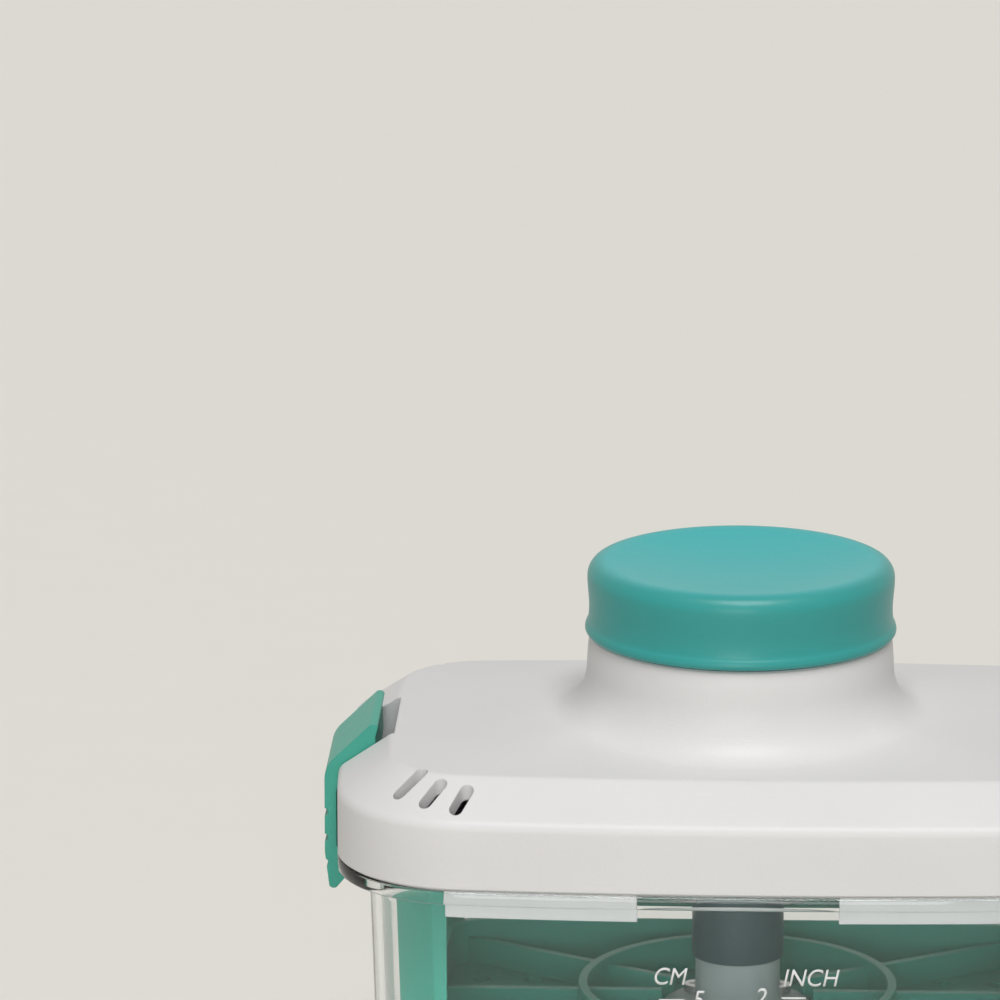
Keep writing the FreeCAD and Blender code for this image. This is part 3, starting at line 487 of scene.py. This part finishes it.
def pocket_outline(grow, low_z):
    """XZ section of the latch pocket in the left end; its inner wall steps back below the top."""
    top_x, deep_x, far_x = -POCKET_X + grow, -POCKET_DEEP_X + grow, -LID_HALF_X - 5
    step_z = BEVEL_TOP_Z + 0.3
    return [(far_x, low_z), (deep_x, low_z), (deep_x, step_z - (POCKET_X - POCKET_DEEP_X)),
            (top_x, step_z), (top_x, NECK_TOP_Z), (far_x, NECK_TOP_Z)]


def pocket_pair(name, grow, low_z):
    half_y = POCKET_HALF_Y + grow
    left = prism(name + "_l", pocket_outline(grow, low_z), "y", -half_y, half_y)
    return joined(name, [left, mirrored(left, name + "_r")])


def pour_slot_cutters():
    cutters = []
    for sign_x in (-1, 1):
        for sign_y in (-1, 1):
            for bearing, near, far in POUR_SLOTS:
                angle = math.radians(bearing)
                middle = (near + far) / 2
                x = sign_x * (SLOT_FAN_X + middle * math.cos(angle))
                y = sign_y * (SLOT_FAN_Y + middle * math.sin(angle))
                loop = stadium(x, y, far - near, SLOT_W, bearing * sign_x * sign_y)
                cutters.append(prism("slot", loop, "z", SKIRT_TOP_Z - SHELL_T - 1, NECK_TOP_Z))
    return joined("slots", cutters)


def make_lid_cover():
    """Thin moulded lid: outer form less inner form, with latch pockets and pour slots cut in."""
    cover = lid_form("lid_cover", 0.0, 0.0, RIM_Z + LID_SEAM)
    hollow = lid_form("hollow", SHELL_T, SHELL_T, RIM_Z - 1)
    carve(hollow, pocket_pair("pocket_walls", SHELL_T, RIM_Z - 3))
    carve(cover, hollow, 28.0)
    pockets = pocket_pair("pockets", 0.0, RIM_Z + POCKET_FLOOR_T)
    carve(cover, joined("cutters", [pockets, pour_slot_cutters()]), 28.0)
    turn = np.linspace(0, 2 * math.pi, 48, endpoint=False)
    hole = BUSH_R * np.stack([np.cos(turn), np.sin(turn)], 1)
    carve(cover, prism("bush_hole", hole, "z", NECK_TOP_Z - 9, NECK_TOP_Z + 2), 28.0)
    return cover


lid_cover = finish_with(white, make_lid_cover(), "lid")
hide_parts("lid_shell")


# ---- knob -----------------------------------------------------------------------------------------

def make_knob_cap():
    """Round cap turned from one section: a bead at its foot, a waisted side, a rounded crest and a
    dished top that is part of a large ball."""
    crest_r = KNOB_R - 4.6
    ball_r = (crest_r ** 2 + (KNOB_TOP_Z - KNOB_DISH_Z) ** 2) / (2 * (KNOB_TOP_Z - KNOB_DISH_Z))
    r = np.linspace(crest_r, 0.6, 14)
    dish = np.column_stack([r, KNOB_DISH_Z + ball_r - np.sqrt(ball_r ** 2 - r ** 2)])
    foot, top = KNOB_BOTTOM_Z, KNOB_TOP_Z
    side = smooth_line([
        (KNOB_R - 1.5, foot), (KNOB_R - 0.6, foot + 0.05), (KNOB_R - 0.05, foot + 0.8),
        (KNOB_R - 0.25, foot + 1.9), (KNOB_R - 0.75, foot + 3.0), (KNOB_R - 0.95, foot + 6.5),
        (KNOB_R - 0.55, top - 4.6), (KNOB_R - 0.75, top - 2.4), (KNOB_R - 1.7, top - 0.9),
        (KNOB_R - 3.0, top - 0.2), (crest_r, top)], 40)
    inner_r = KNOB_R - 0.9 - KNOB_WALL
    ceiling_z = KNOB_DISH_Z - KNOB_WALL
    inside = np.array([(0.6, ceiling_z), (12.0, ceiling_z), (inner_r - 2.0, ceiling_z),
                       (inner_r - 0.6, ceiling_z - 0.5), (inner_r, ceiling_z - 2.0),
                       (inner_r, foot + 4), (inner_r, foot + 0.3), (inner_r + 0.3, foot)])
    return turned("knob_cap", np.concatenate([inside, side, dish[1:]]), 180)


def smooth_line(points, count):
    """Catmull-Rom curve through a few chosen points, sampled evenly in its parameter."""
    p = np.asarray(points, float)
    p = np.concatenate([2 * p[:1] - p[1:2], p, 2 * p[-1:] - p[-2:-1]])
    t = np.linspace(0, len(points) - 1 - 1e-9, count)
    i = t.astype(int)
    f = (t - i)[:, None]
    a, b, c, d = p[i], p[i + 1], p[i + 2], p[i + 3]
    square = 2 * a - 5 * b + 4 * c - d
    cube = 3 * b - a - 3 * c + d
    return 0.5 * (2 * b + (c - a) * f + square * f ** 2 + cube * f ** 3)


knob_cap = finish_with(teal_knob_painted_lit_top, make_knob_cap(), "knob")
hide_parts("knob")


# ---- container ------------------------------------------------------------------------------------

def make_clear_box():
    """Thin-walled box in one skin: up the outside, round the flange, and down the inside."""
    def lean(z):
        return BODY_TAPER * (1 - np.asarray(z, float) / RIM_Z)

    under = RIM_Z - FLANGE_T
    foot = np.array([(6.0, 0.0), (3.0, 0.0), (1.7, 0.25), (0.75, 0.9), (0.2, 1.9), (0.0, 3.2),
                     (0.0, 10.0), (0.0, 25.0), (0.0, 40.0), (0.0, 55.0), (0.0, 70.0), (0.0, 83.0),
                     (0.0, under - 1.2), (-0.25, under - 0.5), (-0.9, under)])
    outer = np.column_stack([foot[:, 0] + lean(foot[:, 1]), foot[:, 1]])
    inner_z = np.array([89.3, 83.0, 70.0, 55.0, 40.0, 25.0, 10.0, BODY_FLOOR + 3.5,
                        BODY_FLOOR + 1.9, BODY_FLOOR + 0.9, BODY_FLOOR + 0.25, BODY_FLOOR])
    inner_in = np.array([0.0, 0.0, 0.0, 0.0, 0.0, 0.0, 0.0, 0.15, 0.6, 1.4, 2.6, 4.5])
    inner = np.column_stack([BODY_WALL + inner_in + lean(inner_z), inner_z])
    outer_rings = body_ring(outer)
    inner_rings = body_ring(inner)
    mouth = body_ring(np.array([(BODY_WALL - 0.5, RIM_Z)]))
    edge = np.array([(1.2, under), (0.35, under), (0.0, under + 0.35), (0.0, RIM_Z - 0.35),
                     (0.35, RIM_Z), (1.2, RIM_Z)])
    flange = with_z(bowed(*(size - edge[:, 0] for size in (LID_HALF_X, LID_HALF_Y, LID_CORNER))),
                    edge[:, 1])
    return skin("clear_box", np.concatenate([outer_rings, flange, mouth, inner_rings]), 50.0)


def body_ring(section):
    ins = section[:, 0]
    return with_z(bowed(BODY_HALF_X - ins, BODY_HALF_Y - ins, BODY_CORNER - ins), section[:, 1])


clear_box = finish_with(clear, make_clear_box(), "container")
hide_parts("container")


# ---- printed scale --------------------------------------------------------------------------------

CM_LINE_X, CM_TEXT_X = -15.4, -8.6
INCH_LINE_X, INCH_TEXT_X = 15.2, 5.2
UNIT_Z, UNIT_TALL = 67.6, 4.0
DIGIT_TALL, DIGIT_DROP = 4.2, 1.9
LETTER_WIDTH, LETTER_LEAN = 0.88, 0.2
INCH_MM = 25.4
INK_FILM = 0.06


def on_front_wall(x, z, proud=0.03):
    """Y of the container's outer front face, a little proud of it."""
    return -(BODY_HALF_Y - BODY_TAPER * (1 - z / RIM_Z)) + x ** 2 / (2 * SIDE_CROWN) - proud


def printed(name, x, z, faces):
    y = on_front_wall(x, z)
    return new_mesh(name, np.column_stack([x, y, z]), faces)


def tick(x0, x1, z, thick):
    """Narrow bar across the wall in a few steps, so that it follows the bowed face."""
    x = np.linspace(x0, x1, 4)
    points_x = np.concatenate([x, x])
    points_z = np.concatenate([np.full(4, z - thick / 2), np.full(4, z + thick / 2)])
    return printed("tick", points_x, points_z, [[i, i + 1, i + 5, i + 4] for i in range(3)])


def label(text, x, z, height):
    """Slanted lettering, centred at x with its foot at z."""
    curve = bpy.data.curves.new("label", "FONT")
    curve.body = text
    curve.size = 1.0
    source = bpy.data.objects.new("label", curve)
    bpy.context.scene.collection.objects.link(source)
    graph = bpy.context.evaluated_depsgraph_get()
    flat = bpy.data.meshes.new_from_object(source.evaluated_get(graph))
    bpy.data.objects.remove(source)
    co = np.empty(len(flat.vertices) * 3)
    flat.vertices.foreach_get("co", co)
    co = co.reshape(-1, 3)
    tall = co[:, 1].max() - co[:, 1].min()
    up = (co[:, 1] - co[:, 1].min()) / tall * height
    along = co[:, 0] / tall * height * LETTER_WIDTH + up * LETTER_LEAN
    along += x - (along.min() + along.max()) / 2
    return printed("label", along, up + z, [list(p.vertices) for p in flat.polygons])


def upright(x, z0, z1, thick):
    """Thin upright line of the scale."""
    points_x = np.array([x - thick / 2, x + thick / 2, x + thick / 2, x - thick / 2])
    return printed("upright", points_x, np.array([z0, z0, z1, z1]), [[0, 1, 2, 3]])


def make_scale():
    """White scale on the front wall: millimetres with long centimetre marks, and tenths of an inch."""
    marks = [upright(CM_LINE_X, BASKET_FLOOR_Z, BASKET_FLOOR_Z + 50, 0.3)]
    for mm in range(0, 51):
        z = BASKET_FLOOR_Z + mm
        if mm % 10:
            marks.append(tick(CM_LINE_X - 2.0, CM_LINE_X, z, 0.32))
        else:
            marks.append(tick(CM_LINE_X - 2.0, CM_LINE_X + 3.8, z, 0.42))
            if mm:
                marks.append(label(str(mm // 10), CM_TEXT_X, z - DIGIT_DROP, DIGIT_TALL))
    for tenth in range(0, 21):
        z = BASKET_FLOOR_Z + tenth * INCH_MM / 10
        if tenth % 5 == 0:
            marks.append(tick(INCH_LINE_X - 5.4, INCH_LINE_X, z, 0.42))
            if tenth:
                marks.append(label("%g" % (tenth / 10), INCH_TEXT_X, z - DIGIT_DROP, DIGIT_TALL))
        else:
            marks.append(tick(INCH_LINE_X - 2.2, INCH_LINE_X - 0.2, z, 0.36))
    marks.append(label("CM", CM_LINE_X + 0.7, UNIT_Z, UNIT_TALL))
    marks.append(label("INCH", INCH_LINE_X + 1.2, UNIT_Z, UNIT_TALL))
    scale = joined("scale_print", marks)
    sheet = scale.modifiers.new("film", "SOLIDIFY")
    sheet.thickness = INK_FILM * MM
    sheet.offset = 0.0
    return baked(scale)


finish_with(print_white, make_scale(), "container")


# ---- latches --------------------------------------------------------------------------------------

def make_latch_arm():
    """Left latch from its side outline: lip, pin boss, leg and hook, with grip grooves."""
    outer_x, leg_x, hook_z = -LID_HALF_X - 3.0, -LID_HALF_X - 0.3, LATCH_HOOK_Z
    corners = [
        (-LATCH_HOOK_X, hook_z, 0.3), (-LATCH_HOOK_X, hook_z - LATCH_HOOK_T, 0.8),
        (-LATCH_HOOK_X - 3.0, LATCH_TIP_Z, 1.0), (outer_x + 1.0, LATCH_TIP_Z + 0.2, 0.9),
        (outer_x, hook_z - 1.0, 3.0), (outer_x, 105.2, 6.5), (-83.2, 115.6, 1.2),
        (-81.7, 115.0, 0.7), (-82.4, 112.4, 0.8), (-82.0, 103.5, 3.0), (-88.2, 103.2, 2.0),
        (leg_x, 100.2, 2.5), (leg_x, hook_z, 0.5)]
    outline = round_bend([c[:2] for c in corners], [c[2] for c in corners])
    arm = prism("latch_arm_left", outline, "y", -LATCH_HALF_Y, LATCH_HALF_Y)
    turn = np.linspace(0, 2 * math.pi, 32, endpoint=False)
    bore = (LATCH_PIN_R + 0.1) * np.stack([np.cos(turn), np.sin(turn)], 1) + [-LATCH_PIN_X, LATCH_PIN_Z]
    tools = [prism("bore", bore, "y", -LATCH_HALF_Y - 1, LATCH_HALF_Y + 1)]
    for z in GRIP_LEVELS:
        groove = round_bend([(outer_x - 1, z - 0.9), (outer_x + 0.7, z - 0.9), (outer_x + 0.7, z + 0.9),
                             (outer_x - 1, z + 0.9)], [0, 0.6, 0.6, 0])
        tools.append(prism("groove", groove, "y", -LATCH_HALF_Y - 1, LATCH_HALF_Y + 1))
    return carve(arm, joined("tools", tools))


latch_arm_left = make_latch_arm()
latch_arm_right = mirrored(latch_arm_left, "latch_arm_right")
for arm, body in ((latch_arm_left, "latch_left"), (latch_arm_right, "latch_right")):
    finish_with(teal, soften(arm, 0.55, 3, 50.0), body)
    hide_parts(body)


# ---- pieces like their CAD shape, with softer edges -------------------------------------------------

def softened(node, name, width):
    """Copy of a CAD piece with its coplanar triangles joined and its edges rounded."""
    work = bmesh.new()
    work.from_mesh(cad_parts[node].data)
    bmesh.ops.remove_doubles(work, verts=work.verts, dist=1e-6)
    bmesh.ops.dissolve_limit(work, angle_limit=math.radians(0.5), verts=work.verts, edges=work.edges)
    work.verts.index_update()
    points = np.array([vert.co for vert in work.verts]) / MM
    faces = [[vert.index for vert in face.verts] for face in work.faces]
    work.free()
    return soften(new_mesh(name, points, faces), width)


TEAL_EDGE, LINER_EDGE = 0.35, 0.3

basket_moulding = softened("basket", "basket_moulding", TEAL_EDGE)
finish_with(teal, basket_moulding, "basket")
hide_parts("basket")
plate_moulding = softened("press_plate", "plate_moulding", TEAL_EDGE)
finish_with(teal, plate_moulding, "plate")
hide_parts("press_plate")
liner_moulding = softened("lid_liner", "liner_moulding", LINER_EDGE)
finish_with(white_inner, liner_moulding, "lid")
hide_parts("lid_liner")


# ---- finishes of the pieces that keep their CAD shape -----------------------------------------------

CAD_FINISH = {
    # Painted shade and light: the nut's dark slate above the foot's pale grey stands partly for the
    # lid's shadow across the tube.
    "drive_nut": slate_and_painted_shade,
    "stem_foot": pale_grey_and_painted_light,
    "stem_guide": white_inner,
    "neck_bush": slate_and_painted_shade,
    "drive_screw": slate_and_painted_shade,
    "foot_screws": steel,
    "liner_screws": steel,
    "thrust_washer": steel,
    "retaining_ring": steel,
    "knob_screws": steel,
    "latch_pin_left": steel,
    "latch_pin_right": steel,
}
for node, material in CAD_FINISH.items():
    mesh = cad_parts[node].data
    mesh.materials.clear()
    mesh.materials.append(material)


# ---- floor, light and camera ------------------------------------------------------------------------

def stage_paper(name, color):
    """Matt paper with a trace of fibre in its tone."""
    paint = Paint(name, Roughness=0.9)
    fibre = paint.noise(40.0, 3.0)
    darker = tuple(c * 0.985 for c in color)
    return paint.set(Base_Color=paint.mix(fibre, (*darker, 1.0), (*color, 1.0)))


floor_mesh = bpy.data.meshes.new("floor")
floor_mesh.from_pydata([(-4, -4, 0), (4, -4, 0), (4, 4, 0), (-4, 4, 0)], [], [[0, 1, 2, 3]])
floor = bpy.data.objects.new("floor", floor_mesh)
bpy.context.scene.collection.objects.link(floor)
floor_mesh.materials.append(stage_paper("floor_paper", (0.86, 0.84, 0.78)))

STUDIO_LIGHT = 0.20
STUDIO_TONE = (0.80, 0.79, 0.77, 1.0)
SEEN_TONE = (0.74, 0.72, 0.67, 1.0)


def make_studio():
    """World that lights softly, and that the camera, gloss and clear plastic see as pale paper."""
    world = bpy.data.worlds.new("studio")
    world.use_nodes = True
    bpy.context.scene.world = world
    tree = world.node_tree
    lit = tree.nodes["Background"]
    lit.inputs["Color"].default_value = STUDIO_TONE
    lit.inputs["Strength"].default_value = STUDIO_LIGHT
    seen = tree.nodes.new("ShaderNodeBackground")
    seen.inputs["Color"].default_value = SEEN_TONE
    path = tree.nodes.new("ShaderNodeLightPath")
    either = path.outputs["Is Camera Ray"]
    for ray in ("Is Glossy Ray", "Is Transmission Ray"):
        most = tree.nodes.new("ShaderNodeMath")
        most.operation = "MAXIMUM"
        tree.links.new(either, most.inputs[0])
        tree.links.new(path.outputs[ray], most.inputs[1])
        either = most.outputs[0]
    both = tree.nodes.new("ShaderNodeMixShader")
    tree.links.new(either, both.inputs[0])
    tree.links.new(lit.outputs[0], both.inputs[1])
    tree.links.new(seen.outputs[0], both.inputs[2])
    tree.links.new(both.outputs[0], tree.nodes["World Output"].inputs["Surface"])


make_studio()


def lamp(name, kind, place, energy, **settings):
    """Lamp at a place in metres that shines on the middle of the press."""
    data = bpy.data.lights.new(name, kind)
    data.energy = energy
    for key, value in settings.items():
        setattr(data, key, value)
    obj = bpy.data.objects.new(name, data)
    obj.location = place
    obj.rotation_euler = (Vector((0, 0, 0.09)) - Vector(place)).to_track_quat("-Z", "Y").to_euler()
    bpy.context.scene.collection.objects.link(obj)


lamp("key", "SUN", (0.10, -0.75, 1.75), 2.25, angle=math.radians(32.0))
lamp("front", "AREA", (-0.1, -1.9, 0.42), 6.6, shape="SQUARE", size=0.8)

VIEW_ELEVATION = math.radians(14.0)
VIEW_DISTANCE = 1.5
AIM = Vector((-0.0547, 0.0, 0.1644))
PIXELS_PER_METRE = 4420.0
PICTURE_WIDTH, SENSOR_WIDTH = 1000.0, 36.0

camera_data = bpy.data.cameras.new("camera")
camera_data.sensor_width = SENSOR_WIDTH
camera_data.lens = SENSOR_WIDTH * VIEW_DISTANCE * PIXELS_PER_METRE / PICTURE_WIDTH
camera = bpy.data.objects.new("camera", camera_data)
camera.location = (0.0, -VIEW_DISTANCE * math.cos(VIEW_ELEVATION),
                   AIM.z + VIEW_DISTANCE * math.sin(VIEW_ELEVATION))
camera.rotation_euler = (AIM - camera.location).to_track_quat("-Z", "Y").to_euler()
bpy.context.scene.collection.objects.link(camera)
bpy.context.scene.camera = camera
bpy.context.scene.view_settings.view_transform = "Standard"
